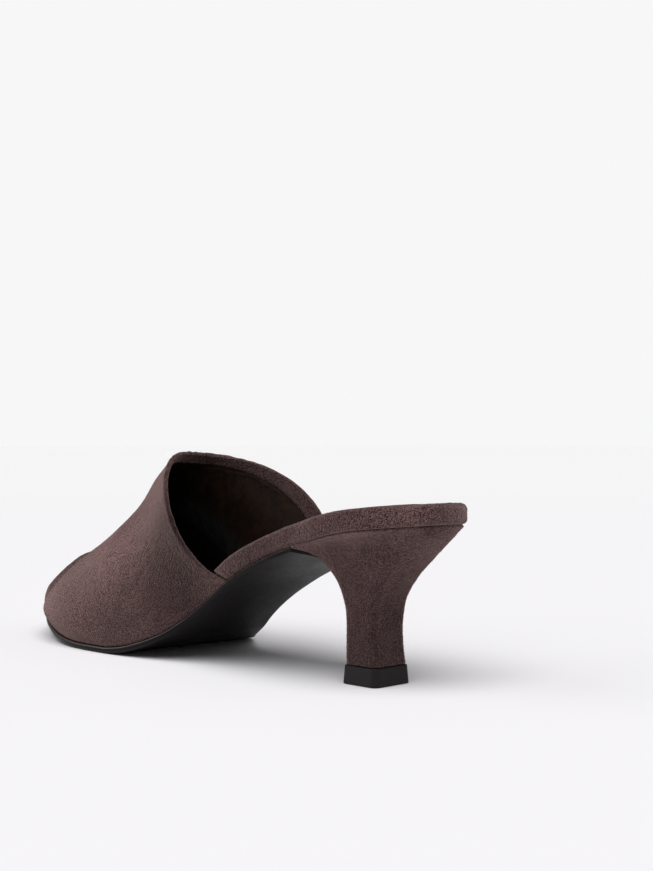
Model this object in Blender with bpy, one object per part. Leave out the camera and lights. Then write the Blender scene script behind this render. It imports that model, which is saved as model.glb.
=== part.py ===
"""A left heeled mule: one wide suede vamp, open at the toe and at the back, on a wrapped footbed, a thin
outsole that turns down the breast of the heel, a flared heel and its top piece.

Lengths are metres, +Z is up, the toe points along +Y and the inner side of the foot is +X."""

import math

import bmesh
import bpy
import numpy as np

# Driving sizes of the shoe
SHOE_LENGTH = 0.236
BALL_WIDTH = 0.0735
WAIST_WIDTH = 0.0410
SEAT_WIDTH = 0.0500
SEAT_HEIGHT = 0.0545  # underside of the footbed at the very back, above the floor
TOE_SPRING = 0.0085

# Sole and footbed
OUTSOLE_THICKNESS = 0.0026
OUTSOLE_EDGE_RADIUS = 0.0006
SHANK_CROWN = 0.0010
CROWN_FROM = 0.58  # share of the length where the underside starts to round towards the shank
CROWN_FULL = 0.40
FLAP_THICKNESS = 0.0012
FLAP_INSET = 0.0016
FLAP_TAPER = 0.5  # share of the flap over which the sole thins
FOOTBED_THICKNESS = 0.0070
FOOTBED_EDGE_RADIUS = 0.0014
FOOTBED_DISH = 0.02  # depth of its hollow as a share of its width
SHANK_LIP = 0.0010  # how far the outsole stands out past the footbed at the waist
SHANK_BLEND = 0.0120  # length over which that lip fades out towards the seat
TOE_LIP = 0.0016

# Heel and its top piece
LIP_FROM_BACK = 0.0470  # where the heel's thin front lip ends under the waist
HEEL_BACK_OVERHANG = 0.0245
TOP_PIECE_LENGTH = 0.0148
TOP_PIECE_WIDTH = 0.0163
TOP_PIECE_HEIGHT = 0.0062
TOP_PIECE_FLARE = 0.0008
TOP_PIECE_ROUNDING = 0.0003
HEEL_CORNER_RADIUS = 0.0026
HEEL_TURN = 3.0  # degrees, the heel's foot turned towards the outer side
HEEL_INSET = 0.0012
BREAST_SHARE = 0.3  # share of each side, from the back, after which it follows the breast

# Upper
UPPER_WALL = 0.0019
UPPER_LIP = 0.0010  # how far the outsole stands out past the upper
INSTEP_HEIGHT = 0.0773  # top of the vamp's back edge, above the floor
INSTEP_FROM_BACK = 0.1406
TOE_OPENING_HEIGHT = 0.0345
TOE_OPENING_FROM_BACK = 0.2050
EDGE_ROUNDING = 0.0006
FOOTBED_STEP = 0.0030  # length over which the footbed draws in where the vamp's feet begin
OUTER_EDGE_LEAN = 0.95  # forward travel of the vamp's back edge for its climb up the footbed
INNER_EDGE_LEAN = 0.30
BACK_EDGE_SPREAD = 0.04  # how far the vamp's sides move out for their climb, at their back edge
WAIST_SPREAD = -0.08  # and further forward, where they lean in
SPREAD_BLEND = 0.0200  # length over which the one passes into the other

FIT_GAP = 0.00035  # between pieces that meet face to face
SLOPE_STEP = 0.002  # length over which a slope of the sole is measured

# Mesh density
SOLE_STATIONS = 46
FOOTBED_STATIONS = 80
SOLE_COLUMNS = 7
HEEL_LEVELS = 18
HEEL_SIDE_POINTS = 15
UPPER_ROWS = 27
UPPER_COLUMNS = 18

WIDTHS = {"seat": SEAT_WIDTH, "waist": WAIST_WIDTH, "ball": BALL_WIDTH}
COLLECTION = "heeled_mule"

# Outline of the outsole from above, one row for each place from the back to the tip of the toe.
# along is a share of the length; outer and inner are shares of the width that the row follows.
OUTLINE = [
    # along, follows, outer, inner
    (0.000, "seat", 0.000, 0.000),
    (0.010, "seat", 0.230, 0.230),
    (0.037, "seat", 0.388, 0.388),
    (0.083, "seat", 0.484, 0.484),
    (0.145, "seat", 0.512, 0.508),
    (0.205, "seat", 0.516, 0.500),
    (0.270, "seat", 0.512, 0.458),
    (0.340, "waist", 0.612, 0.468),
    (0.400, "waist", 0.592, 0.400),
    (0.450, "waist", 0.610, 0.420),
    (0.500, "waist", 0.680, 0.520),
    (0.550, "ball", 0.414, 0.368),
    (0.600, "ball", 0.438, 0.478),
    (0.650, "ball", 0.452, 0.528),
    (0.700, "ball", 0.460, 0.540),
    (0.750, "ball", 0.450, 0.524),
    (0.800, "ball", 0.416, 0.488),
    (0.848, "ball", 0.362, 0.434),
    (0.892, "ball", 0.298, 0.366),
    (0.932, "ball", 0.218, 0.288),
    (0.966, "ball", 0.142, 0.218),
    (0.990, "ball", 0.048, 0.146),
    (1.000, "ball", -0.054, 0.054),
]

# The sole from the side. Under the foot the outsole's underside stands at a share of the seat's
# height plus a share of the toe spring. The last column is the footbed's share of its thickness.
PROFILE = [
    # along, seat share, toe spring share, footbed share
    (0.000, 0.952, 0.00, 1.00),
    (0.090, 0.912, 0.00, 1.00),
    (0.190, 0.812, 0.00, 1.00),
    (0.243, 0.738, 0.00, 1.02),
    (0.295, 0.650, 0.00, 1.06),
    (0.338, 0.562, 0.00, 1.10),
    (0.376, 0.466, 0.00, 1.10),
    (0.425, 0.332, 0.00, 1.00),
    (0.467, 0.222, 0.00, 0.86),
    (0.498, 0.150, 0.00, 0.80),
    (0.550, 0.068, 0.00, 0.72),
    (0.598, 0.018, 0.00, 0.66),
    (0.640, 0.000, 0.00, 0.64),
    (0.700, 0.000, 0.00, 0.62),
    (0.785, 0.000, 0.15, 0.60),
    (0.830, 0.000, 0.33, 0.58),
    (0.915, 0.000, 0.68, 0.56),
    (1.000, 0.000, 1.00, 0.54),
]

# The footbed's edge from its underside to its top, in shares of the edge radius: how far in, and how
# far up. Places up are counted from the underside, those below zero from one radius above the top.
FOOTBED_EDGE = [
    # inward, up
    (0.35, 0.00),
    (0.00, 0.35),
    (0.00, -2.00),
    (0.08, -1.62),
    (0.29, -1.29),
    (0.62, -1.08),
    (1.00, -1.00),
]

# How far the heel has opened from its foot to its seat, at shares of its height.
HEEL_FLARE = [
    # height, back, breast, sides
    (0.00, 0.000, 0.000, 0.000),
    (0.12, -0.051, -0.003, 0.000),
    (0.24, -0.073, -0.020, 0.000),
    (0.34, -0.052, -0.043, 0.005),
    (0.45, 0.002, -0.059, 0.030),
    (0.54, 0.107, -0.050, 0.090),
    (0.65, 0.299, -0.005, 0.190),
    (0.76, 0.545, 0.082, 0.335),
    (0.88, 0.820, 0.232, 0.535),
    (0.955, 0.965, 0.535, 0.730),
    (1.00, 1.000, 1.000, 1.000),
]

# The vamp's middle ridge, a row for each section from the back edge to the toe opening.
# feet are shares of the length, the ridge shares of the way and of the drop from the instep to the
# toe opening, and aside a share of the ball width.
RIDGE = [
    # section, outer foot, inner foot, ridge way, ridge drop, ridge aside
    (0.00, 0.357, 0.319, 0.000, 0.000, -0.019),
    (0.25, 0.480, 0.465, 0.361, 0.310, 0.008),
    (0.50, 0.620, 0.625, 0.519, 0.614, 0.051),
    (0.75, 0.765, 0.780, 0.752, 0.818, 0.055),
    (1.00, 0.932, 0.940, 1.000, 1.000, 0.055),
]

# The vamp's sides, a row for each section. Each side is a curve from the foot to the ridge: swell
# carries it out past the foot and rise carries it up, before it turns in over the shoulder.
# swell is a share of the ball width, rise of the section's height, shoulder of its half width and
# lean of its sweep from the foot to the ridge.
SIDES = [
    # section, outer swell, outer rise, outer shoulder, outer lean, inner swell, inner rise,
    # inner shoulder, inner lean
    (0.00, 0.035, 0.162, 0.750, 0.667, 0.183, 0.898, 0.880, 0.187),
    (0.25, 0.107, 0.323, 0.167, 0.406, 0.091, 0.671, 0.884, 0.312),
    (0.50, 0.123, 0.411, 0.620, 0.229, 0.100, 0.550, 0.800, 0.340),
    (0.75, 0.182, 0.406, 0.382, 0.250, 0.100, 0.500, 0.700, 0.340),
    (1.00, 0.143, 0.150, 0.565, 0.416, 0.120, 0.400, 0.650, 0.340),
]

COLOURS = {
    # red, green, blue, roughness
    "suede": (0.115, 0.080, 0.072, 0.95),
    "sole": (0.030, 0.028, 0.030, 0.45),
    "top_piece": (0.024, 0.023, 0.024, 0.50),
}


def column(table, index):
    return np.array([row[index] for row in table], float)


def smooth(x, xs, ys):
    """A curve through the points xs, ys that never overshoots them."""
    x, xs, ys = (np.asarray(v, float) for v in (x, xs, ys))
    step = np.diff(xs)
    rise = np.diff(ys) / step
    slope = np.zeros(len(xs))
    both = rise[:-1] * rise[1:] > 0
    slope[1:-1][both] = 2 * rise[:-1][both] * rise[1:][both] / (rise[:-1] + rise[1:])[both]
    slope[0], slope[-1] = rise[0], rise[-1]
    k = np.clip(np.searchsorted(xs, x) - 1, 0, len(step) - 1)
    t = np.clip((x - xs[k]) / step[k], 0, 1)
    start = ys[k] * (1 + 2 * t) * (1 - t) ** 2 + step[k] * slope[k] * t * (1 - t) ** 2
    end = ys[k + 1] * t * t * (3 - 2 * t) + step[k] * slope[k + 1] * t * t * (t - 1)
    return start + end


def table_row(table, where):
    """All columns but the first, read where the first column has this value."""
    return [float(smooth(where, column(table, 0), column(table, k))) for k in range(1, len(table[0]))]


def ease(x, low, high):
    """0 below low, 1 above high and a smooth rise between them."""
    t = np.clip((np.asarray(x, float) - low) / (high - low), 0, 1)
    return t * t * (3 - 2 * t)


def bulge(shares):
    """0 at both ends of 0 to 1, and 1 in the middle."""
    return 4 * shares * (1 - shares)


def outline_loop():
    """The outline's points, once round: back, outer side, tip of the toe, inner side."""
    outer_side = [(-outer * WIDTHS[name], along * SHOE_LENGTH) for along, name, outer, inner in OUTLINE]
    inner_side = [(inner * WIDTHS[name], along * SHOE_LENGTH) for along, name, outer, inner in OUTLINE[1:-1]]
    return np.array(outer_side + inner_side[::-1], float)


def rail(side, place, inset=0.0):
    """Points of the outline's outer (-1) or inner (+1) side, moved in by inset.

    place is a row of the outline, 0 at the back; between the rows the curve is a smooth one."""
    loop = outline_loop()
    place = np.atleast_1d(np.asarray(place, float))
    where = place if side < 0 else len(loop) - place
    k = np.floor(where).astype(int)
    t = (where - k)[:, None]
    a, b, c, d = (loop[(k + shift) % len(loop)] for shift in (-1, 0, 1, 2))
    square = 2 * a - 5 * b + 4 * c - d
    cube = 3 * b - a - 3 * c + d
    point = b + 0.5 * ((c - a) * t + square * t**2 + cube * t**3)
    along = (c - a) + 2 * square * t + 3 * cube * t**2
    along /= np.linalg.norm(along, axis=1)[:, None]
    inward = np.stack([along[:, 1], -along[:, 0]], 1)
    return point + inward * np.reshape(inset, (-1, 1))


def place_at(side, y):
    """The place on one side of the outline that lies y from the back."""
    places = np.linspace(0, len(OUTLINE) - 1, 40 * len(OUTLINE))
    return np.interp(y, rail(side, places)[:, 1], places)


def outsole_bottom(y):
    """Height of the outsole's underside, y from the back."""
    along = column(PROFILE, 0) * SHOE_LENGTH
    return smooth(y, along, column(PROFILE, 1) * SEAT_HEIGHT + column(PROFILE, 2) * TOE_SPRING)


def upright(y):
    """How much taller a thickness square to the sole stands, y from the back."""
    climb = outsole_bottom(y + SLOPE_STEP) - outsole_bottom(y - SLOPE_STEP)
    return np.hypot(1, climb / (2 * SLOPE_STEP))


def outsole_top(y):
    return outsole_bottom(y) + OUTSOLE_THICKNESS * upright(y)


def stations(first, last, count):
    """Places from first to last, evenly spread along the outline and closer at the toe and the back."""
    places = np.linspace(first, last, 30 * count)
    reach = sum(np.linalg.norm(np.diff(rail(side, places), axis=0), axis=1) for side in (-1, 1))
    travelled = np.concatenate([[0], np.cumsum(reach)])
    even = np.linspace(0, travelled[-1], count)
    return np.interp(even, travelled, places)


def tube_faces(rings, around):
    """Faces of a closed section carried along a row of rings."""
    faces = []
    for i in range(rings - 1):
        for j in range(around):
            k = (j + 1) % around
            faces.append((i * around + j, i * around + k, (i + 1) * around + k, (i + 1) * around + j))
    return faces


def cap_faces(start, top, bottom):
    """Faces across one ring, between its top columns and the bottom columns opposite them."""
    pairs = [(start + a, start + b) for a, b in zip(top, bottom)]
    corners = [(a, b, c, d) for (a, d), (b, c) in zip(pairs, pairs[1:])]
    return [tuple(dict.fromkeys(face)) for face in corners]


def material(finish):
    found = bpy.data.materials.get(finish)
    if found:
        return found
    made = bpy.data.materials.new(finish)
    made.use_nodes = True
    red, green, blue, roughness = COLOURS[finish]
    shader = made.node_tree.nodes["Principled BSDF"]
    shader.inputs["Base Color"].default_value = (red, green, blue, 1)
    shader.inputs["Roughness"].default_value = roughness
    shader.inputs["Metallic"].default_value = 0
    return made


def add_piece(name, vertices, faces, finish):
    """A closed piece from points that are measured from the back of the shoe's own middle line."""
    mesh = bpy.data.meshes.new(name)
    mesh.from_pydata(np.asarray(vertices, float).tolist(), [], faces)
    body = bmesh.new()
    body.from_mesh(mesh)
    bmesh.ops.remove_doubles(body, verts=body.verts, dist=1e-6)
    bmesh.ops.dissolve_degenerate(body, edges=body.edges, dist=1e-6)
    bmesh.ops.triangulate(body, faces=body.faces)
    bmesh.ops.recalc_face_normals(body, faces=body.faces)
    body.to_mesh(mesh)
    body.free()
    mesh.shade_smooth()
    mesh.set_sharp_from_angle(angle=math.radians(40))
    mesh.materials.append(material(finish))
    piece = bpy.data.objects.new(name, mesh)
    bpy.data.collections[COLLECTION].objects.link(piece)


def rounded_half(length, width, radius, shares):
    """One side of a rounded rectangle, from the middle of its back edge to its front corner.

    shares run from 0 to 1 along that side; the front corner is round and ends on the front edge."""
    quarter = radius * math.pi / 2
    legs = [width / 2 - radius, quarter, length - 2 * radius, quarter]
    ends = np.concatenate([[0], np.cumsum(legs)])
    points = []
    across, up = width / 2 - radius, length - radius
    for travelled in np.asarray(shares, float) * ends[-1]:
        if travelled <= ends[1]:
            points.append((travelled, 0))
        elif travelled <= ends[2]:
            angle = (travelled - ends[1]) / radius
            points.append((across + radius * math.sin(angle), radius - radius * math.cos(angle)))
        elif travelled <= ends[3]:
            points.append((width / 2, radius + travelled - ends[2]))
        else:
            angle = (travelled - ends[3]) / radius
            points.append((across + radius * math.cos(angle), up + radius * math.sin(angle)))
    return np.array(points)


def turned(points):
    """Points round the middle of the heel's foot, turned with the heel and set under the seat."""
    angle = math.radians(HEEL_TURN)
    centre = np.array([0, HEEL_BACK_OVERHANG + TOP_PIECE_LENGTH / 2])
    spin = np.array([[math.cos(angle), math.sin(angle)], [-math.sin(angle), math.cos(angle)]])
    return points @ spin + centre


def across_place(y):
    """The place where a line across the outline lies about y from the back."""
    return float(place_at(-1, y) + place_at(1, y)) / 2


def heel_sides():
    """The heel's two sides as grids of points, level by level from the foot to the seat."""
    shares = np.linspace(0, 1, HEEL_SIDE_POINTS)
    places = stations(0, across_place(LIP_FROM_BACK), HEEL_SIDE_POINTS)
    levels = np.sin(np.linspace(0, math.pi / 2, HEEL_LEVELS))
    grids = {}
    for side in (-1, 1):
        half = rounded_half(TOP_PIECE_LENGTH, TOP_PIECE_WIDTH, HEEL_CORNER_RADIUS, shares)
        foot = turned(np.stack([side * half[:, 0], half[:, 1] - TOP_PIECE_LENGTH / 2], 1))
        seat = rail(side, places, HEEL_INSET)
        seat_height = outsole_top(seat[:, 1]) - FIT_GAP
        foot_height = TOP_PIECE_HEIGHT + FIT_GAP
        rows = []
        for level in levels:
            back, breast, wide = table_row(HEEL_FLARE, level)
            forward = ease(shares, BREAST_SHARE, 1)
            long_way = back + (breast - back) * forward
            x = foot[:, 0] + (seat[:, 0] - foot[:, 0]) * wide
            y = foot[:, 1] + (seat[:, 1] - foot[:, 1]) * long_way
            rows.append(np.stack([x, y, foot_height + (seat_height - foot_height) * level], 1))
        grids[side] = np.array(rows)
    return grids


def add_column(name, outer, inner, finish, flat_top):
    """A closed piece from its two sides: a stack of rings, each from the back to the front corner."""
    count = outer.shape[1]
    rings = np.concatenate([outer, inner[:, :0:-1]], 1)
    around = rings.shape[1]
    faces = tube_faces(len(rings), around)
    opposite = [0] + list(range(around - 1, count - 1, -1))
    last = (len(rings) - 1) * around
    faces.append(tuple(range(around)))
    faces += [tuple(range(last, last + around))] if flat_top else cap_faces(last, range(count), opposite)
    add_piece(name, rings.reshape(-1, 3), faces, finish)


def build_heel():
    sides = heel_sides()
    add_column("heel", sides[-1], sides[1], "suede", flat_top=False)


def build_top_piece():
    shares = np.linspace(0, 1, HEEL_SIDE_POINTS)
    rounding = TOP_PIECE_ROUNDING
    levels = [
        (TOP_PIECE_FLARE - rounding, 0),
        (TOP_PIECE_FLARE, rounding),
        (rounding, TOP_PIECE_HEIGHT - rounding),
        (0, TOP_PIECE_HEIGHT),
    ]
    rings = {-1: [], 1: []}
    for grow, height in levels:
        length = TOP_PIECE_LENGTH + 2 * grow
        half = rounded_half(length, TOP_PIECE_WIDTH + 2 * grow, HEEL_CORNER_RADIUS + grow, shares)
        for side in (-1, 1):
            ring = turned(np.stack([side * half[:, 0], half[:, 1] - length / 2], 1))
            rings[side].append(np.column_stack([ring, np.full(len(ring), height)]))
    add_column("top_piece", np.array(rings[-1]), np.array(rings[1]), "top_piece", flat_top=True)


def flap_rings():
    """Sections of the outsole down the heel's breast, from the heel's lip to just above the top piece."""
    sides = heel_sides()
    outer_line, inner_line = sides[-1][::-1, -1], sides[1][::-1, -1]
    run = np.gradient(outer_line, axis=0) + np.gradient(inner_line, axis=0)
    shares = np.linspace(0, 1, SOLE_COLUMNS)[:, None]
    rings = []
    for down, outer, inner, way in zip(np.linspace(0, 1, len(run)), outer_line, inner_line, run):
        normal = np.array([0, -way[2], way[1]]) / math.hypot(way[1], way[2])
        over = (inner - outer) / np.linalg.norm(inner - outer)
        inset = FLAP_INSET * ease(down, 0, FLAP_TAPER / 2) + OUTSOLE_EDGE_RADIUS
        thick = OUTSOLE_THICKNESS + (FLAP_THICKNESS - OUTSOLE_THICKNESS) * ease(down, 0, FLAP_TAPER)
        across = outer + over * inset + (inner - outer - 2 * over * inset) * shares
        top = across + normal * FIT_GAP
        low = across + normal * (FIT_GAP + thick)
        edges = (top[[0, -1]] + low[[0, -1]]) / 2 + np.array([-over, over]) * OUTSOLE_EDGE_RADIUS
        rings.append(np.concatenate([edges[:1], top, edges[1:], low[::-1]]))
    return rings


def build_outsole():
    first = across_place(LIP_FROM_BACK + 2 * FIT_GAP)
    shares = np.linspace(0, 1, SOLE_COLUMNS)
    rings = []
    for place in stations(first, len(OUTLINE) - 1, SOLE_STATIONS)[::-1]:
        edges = np.array([rail(side, place)[0] for side in (-1, 1)])
        outer, inner = (rail(side, place, OUTSOLE_EDGE_RADIUS)[0] for side in (-1, 1))
        across = outer + (inner - outer) * shares[:, None]
        top = outsole_top(across[:, 1]) - FIT_GAP
        crown = SHANK_CROWN * ease(across[:, 1], CROWN_FROM * SHOE_LENGTH, CROWN_FULL * SHOE_LENGTH)
        low = outsole_bottom(across[:, 1]) + crown * (1 - bulge(shares))
        middle = (top[[0, -1]] + low[[0, -1]]) / 2
        rings.append(np.concatenate([
            [[*edges[0], middle[0]]],
            np.column_stack([across, top]),
            [[*edges[1], middle[1]]],
            np.column_stack([across, low])[::-1],
        ]))
    rings = np.array(rings + flap_rings())
    around = rings.shape[1]
    faces = tube_faces(len(rings), around)
    top = list(range(SOLE_COLUMNS + 2))
    low = [0] + list(range(around - 1, SOLE_COLUMNS, -1))
    faces += cap_faces((len(rings) - 1) * around, top, low)
    add_piece("outsole", rings.reshape(-1, 3), faces, "sole")


def footbed_inset(side, y, climb):
    """How far the footbed's edge lies inside the outline, at a height above the outsole."""
    foot = column(RIDGE, 1 if side < 0 else 2) * SHOE_LENGTH
    behind = y - (OUTER_EDGE_LEAN if side < 0 else INNER_EDGE_LEAN) * climb
    waist = SHANK_LIP * ease(y, LIP_FROM_BACK - SHANK_BLEND, LIP_FROM_BACK)
    forward = ease(y, foot[0], foot[0] + SPREAD_BLEND)
    spread = BACK_EDGE_SPREAD + (WAIST_SPREAD - BACK_EDGE_SPREAD) * forward
    inside = UPPER_LIP + UPPER_WALL + FIT_GAP - spread * climb
    start = foot[0] - 2 * EDGE_ROUNDING - FIT_GAP
    covered = ease(behind, start - FOOTBED_STEP, start)
    end = foot[-1] + EDGE_ROUNDING + FIT_GAP
    bare = ease(y, end, end + FOOTBED_STEP)
    return waist + (inside - waist) * covered + (TOE_LIP - inside) * bare


def build_footbed():
    places = stations(0, len(OUTLINE) - 1, FOOTBED_STATIONS)
    radius = FOOTBED_EDGE_RADIUS
    shares = np.linspace(0, 1, SOLE_COLUMNS)[:, None]
    rings = []
    for place in places:
        edge = {}
        for side in (-1, 1):
            y = rail(side, place)[0, 1]
            thick = FOOTBED_THICKNESS * float(smooth(y, column(PROFILE, 0) * SHOE_LENGTH, column(PROFILE, 3)))
            points = []
            for inward, up in FOOTBED_EDGE:
                climb = up * radius if up >= 0 else thick + (1 + up) * radius
                inset = footbed_inset(side, y, climb) + inward * radius
                p = rail(side, place, inset)[0]
                points.append((*p, outsole_top(p[1]) + climb * upright(p[1])))
            edge[side] = np.array(points)
        top = edge[-1][-1] + (edge[1][-1] - edge[-1][-1]) * shares
        top[:, 2] -= FOOTBED_DISH * np.linalg.norm(top[-1] - top[0]) * bulge(shares[:, 0])
        low = edge[-1][0] + (edge[1][0] - edge[-1][0]) * shares
        ring = list(edge[-1][:-1]) + list(top) + list(edge[1][::-1][1:]) + list(low[::-1][1:-1])
        rings.append(ring)
    rings = np.array(rings)
    add_piece("footbed", rings.reshape(-1, 3), tube_faces(len(rings), rings.shape[1]), "suede")


def vamp_surface():
    """The vamp's outside as a grid: rows from the back edge to the toe, columns from foot to foot."""
    way = np.linspace(0, 1, UPPER_ROWS)
    t = np.linspace(0, 1, UPPER_COLUMNS)[:, None]
    rows = []
    for w in way:
        outer_foot, inner_foot, ridge_way, drop, aside = table_row(RIDGE, w)
        sides = table_row(SIDES, w)
        ridge_y = INSTEP_FROM_BACK + ridge_way * (TOE_OPENING_FROM_BACK - INSTEP_FROM_BACK)
        ridge_z = INSTEP_HEIGHT - drop * (INSTEP_HEIGHT - TOE_OPENING_HEIGHT)
        ridge = np.array([aside * BALL_WIDTH, ridge_y, ridge_z])
        halves = []
        for side, foot_y, first in ((-1, outer_foot * SHOE_LENGTH, 0), (1, inner_foot * SHOE_LENGTH, 4)):
            swell, rise, shoulder, lean = sides[first:first + 4]
            edge = rail(side, place_at(side, foot_y), UPPER_LIP)[0]
            out = rail(side, place_at(side, foot_y), 0)[0] - edge
            out /= np.linalg.norm(out)
            foot = np.array([*edge, outsole_top(edge[1])])
            sweep = ridge - foot
            first_pull = foot + np.array([*(out * swell * BALL_WIDTH), rise * sweep[2]])
            first_pull[1] += lean * sweep[1]
            second_pull = ridge - np.array([shoulder * sweep[0], 0, 0])
            lower = foot * (1 - t) ** 3 + 3 * first_pull * t * (1 - t) ** 2
            halves.append(lower + 3 * second_pull * t**2 * (1 - t) + ridge * t**3)
        rows.append(np.concatenate([halves[0], halves[1][::-1][1:]]))
    return np.array(rows)


def build_upper():
    outside = vamp_surface()
    along = np.gradient(outside, axis=0)
    across = np.gradient(outside, axis=1)
    normal = np.cross(across, along)
    normal /= np.linalg.norm(normal, axis=2)[:, :, None]
    inside = outside - normal * UPPER_WALL
    for edge, near in ((0, 1), (-1, -2)):
        flat = -normal[:, edge].copy()
        flat[:, 2] = 0
        flat /= np.linalg.norm(flat, axis=1)[:, None]
        inside[:, edge] = outside[:, edge] + flat * UPPER_WALL
        inside[:, edge, 2] = outsole_top(inside[:, edge, 1])
    rows, columns = outside.shape[:2]
    middle = (outside + inside) / 2
    first = middle[0] - along[0] / np.linalg.norm(along[0], axis=1)[:, None] * EDGE_ROUNDING
    last = middle[-1] + along[-1] / np.linalg.norm(along[-1], axis=1)[:, None] * EDGE_ROUNDING
    for edge in (0, -1):
        first[edge] = middle[0][edge]
        last[edge] = middle[-1][edge]
    loops = np.concatenate([outside, [last], inside[::-1], [first]])
    faces = []
    count = len(loops)
    for i in range(count):
        k = (i + 1) % count
        for j in range(columns - 1):
            faces.append((i * columns + j, k * columns + j, k * columns + j + 1, i * columns + j + 1))
    for j in (0, columns - 1):
        for i in range(rows - 1):
            a, b = i, i + 1
            c, d = 2 * rows - i - 1, 2 * rows - i
            faces.append((a * columns + j, b * columns + j, c * columns + j, d * columns + j))
        faces.append(((rows - 1) * columns + j, rows * columns + j, (rows + 1) * columns + j))
        faces.append((2 * rows * columns + j, (2 * rows + 1) * columns + j, j))
    add_piece("upper", loops.reshape(-1, 3), faces, "suede")


def main():
    for obj in list(bpy.data.objects):
        bpy.data.objects.remove(obj, do_unlink=True)
    collection = bpy.data.collections.new(COLLECTION)
    bpy.context.scene.collection.children.link(collection)
    build_outsole()
    build_footbed()
    build_heel()
    build_top_piece()
    build_upper()
    across = [vertex.co.x for piece in collection.objects for vertex in piece.data.vertices]
    for piece in collection.objects:
        piece.location = (-(min(across) + max(across)) / 2, -SHOE_LENGTH / 2, 0)


main()
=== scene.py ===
import math

import bmesh
import bpy
import numpy as np
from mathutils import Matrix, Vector


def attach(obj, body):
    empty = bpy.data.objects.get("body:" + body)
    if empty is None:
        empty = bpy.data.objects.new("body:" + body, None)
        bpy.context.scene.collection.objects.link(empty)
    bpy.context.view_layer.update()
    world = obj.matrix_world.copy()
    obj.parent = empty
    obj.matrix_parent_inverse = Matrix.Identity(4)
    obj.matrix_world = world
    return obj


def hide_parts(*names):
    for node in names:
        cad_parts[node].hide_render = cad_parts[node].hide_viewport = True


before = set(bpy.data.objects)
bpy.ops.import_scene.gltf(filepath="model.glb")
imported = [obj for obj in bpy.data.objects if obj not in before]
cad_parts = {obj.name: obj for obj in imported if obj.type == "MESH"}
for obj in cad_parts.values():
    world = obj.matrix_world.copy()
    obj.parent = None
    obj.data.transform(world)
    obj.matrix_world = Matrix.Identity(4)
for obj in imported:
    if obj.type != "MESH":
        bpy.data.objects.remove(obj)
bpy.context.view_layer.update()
print("frame loaded")

# The last: lengths in metres, measured from the back of the seat along the shoe's own middle line.
# The whole shoe is then moved so that the middle of its box lies at the origin.
last = {
    "length": 0.236,
    "seatHeight": 0.0545,
    "toeSpring": 0.0085,
    "soleThickness": 0.0026,
    "seatWidth": 0.0500,
    "waistWidth": 0.0410,
    "ballWidth": 0.0735,
    "fitGap": 0.00035,
    "middle": 0.002536,  # how far the box's middle lies towards the inner side
    "slopeSpan": 0.004,  # length over which the sole's slope is read
    "fineSteps": 4000,  # steps in which the outline is measured
}
seat, waist, ball = last["seatWidth"], last["waistWidth"], last["ballWidth"]
outline = np.array([  # from the back to the tip of the toe: share of the length, outer half, inner half
    (0.000, 0.000 * seat, 0.000 * seat),
    (0.010, 0.230 * seat, 0.230 * seat),
    (0.037, 0.388 * seat, 0.388 * seat),
    (0.083, 0.484 * seat, 0.484 * seat),
    (0.145, 0.512 * seat, 0.508 * seat),
    (0.205, 0.516 * seat, 0.500 * seat),
    (0.270, 0.512 * seat, 0.458 * seat),
    (0.340, 0.612 * waist, 0.468 * waist),
    (0.400, 0.592 * waist, 0.400 * waist),
    (0.450, 0.610 * waist, 0.420 * waist),
    (0.500, 0.680 * waist, 0.520 * waist),
    (0.550, 0.414 * ball, 0.368 * ball),
    (0.600, 0.438 * ball, 0.478 * ball),
    (0.650, 0.452 * ball, 0.528 * ball),
    (0.700, 0.460 * ball, 0.540 * ball),
    (0.750, 0.450 * ball, 0.524 * ball),
    (0.800, 0.416 * ball, 0.488 * ball),
    (0.848, 0.362 * ball, 0.434 * ball),
    (0.892, 0.298 * ball, 0.366 * ball),
    (0.932, 0.218 * ball, 0.288 * ball),
    (0.966, 0.142 * ball, 0.218 * ball),
    (0.990, 0.048 * ball, 0.146 * ball),
    (1.000, -0.054 * ball, 0.054 * ball),
])
profile = np.array([  # share of the length, underside as shares of seat height and toe spring, footbed
    (0.000, 0.952, 0.00, 1.00),
    (0.090, 0.912, 0.00, 1.00),
    (0.190, 0.812, 0.00, 1.00),
    (0.243, 0.738, 0.00, 1.02),
    (0.295, 0.650, 0.00, 1.06),
    (0.338, 0.562, 0.00, 1.10),
    (0.376, 0.466, 0.00, 1.10),
    (0.425, 0.332, 0.00, 1.00),
    (0.467, 0.222, 0.00, 0.86),
    (0.498, 0.150, 0.00, 0.80),
    (0.550, 0.068, 0.00, 0.72),
    (0.598, 0.018, 0.00, 0.66),
    (0.640, 0.000, 0.00, 0.64),
    (0.700, 0.000, 0.00, 0.62),
    (0.785, 0.000, 0.15, 0.60),
    (0.830, 0.000, 0.33, 0.58),
    (0.915, 0.000, 0.68, 0.56),
    (1.000, 0.000, 1.00, 0.54),
])


# Curve through xs, ys that never overshoots: cubic pieces with the harmonic mean of the two slopes.
def smoothCurve(x, xs, ys):
    x, xs, ys = (np.asarray(v, float) for v in (x, xs, ys))
    step = np.diff(xs)
    rise = np.diff(ys) / step
    slope = np.zeros(len(xs))
    both = rise[:-1] * rise[1:] > 0
    slope[1:-1][both] = 2 * rise[:-1][both] * rise[1:][both] / (rise[:-1] + rise[1:])[both]
    slope[0], slope[-1] = rise[0], rise[-1]
    k = np.clip(np.searchsorted(xs, x) - 1, 0, len(step) - 1)
    t = np.clip((x - xs[k]) / step[k], 0, 1)
    start = ys[k] * (1 + 2 * t) * (1 - t) ** 2 + step[k] * slope[k] * t * (1 - t) ** 2
    end = ys[k + 1] * t * t * (3 - 2 * t) + step[k] * slope[k + 1] * t * t * (t - 1)
    return start + end


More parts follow.
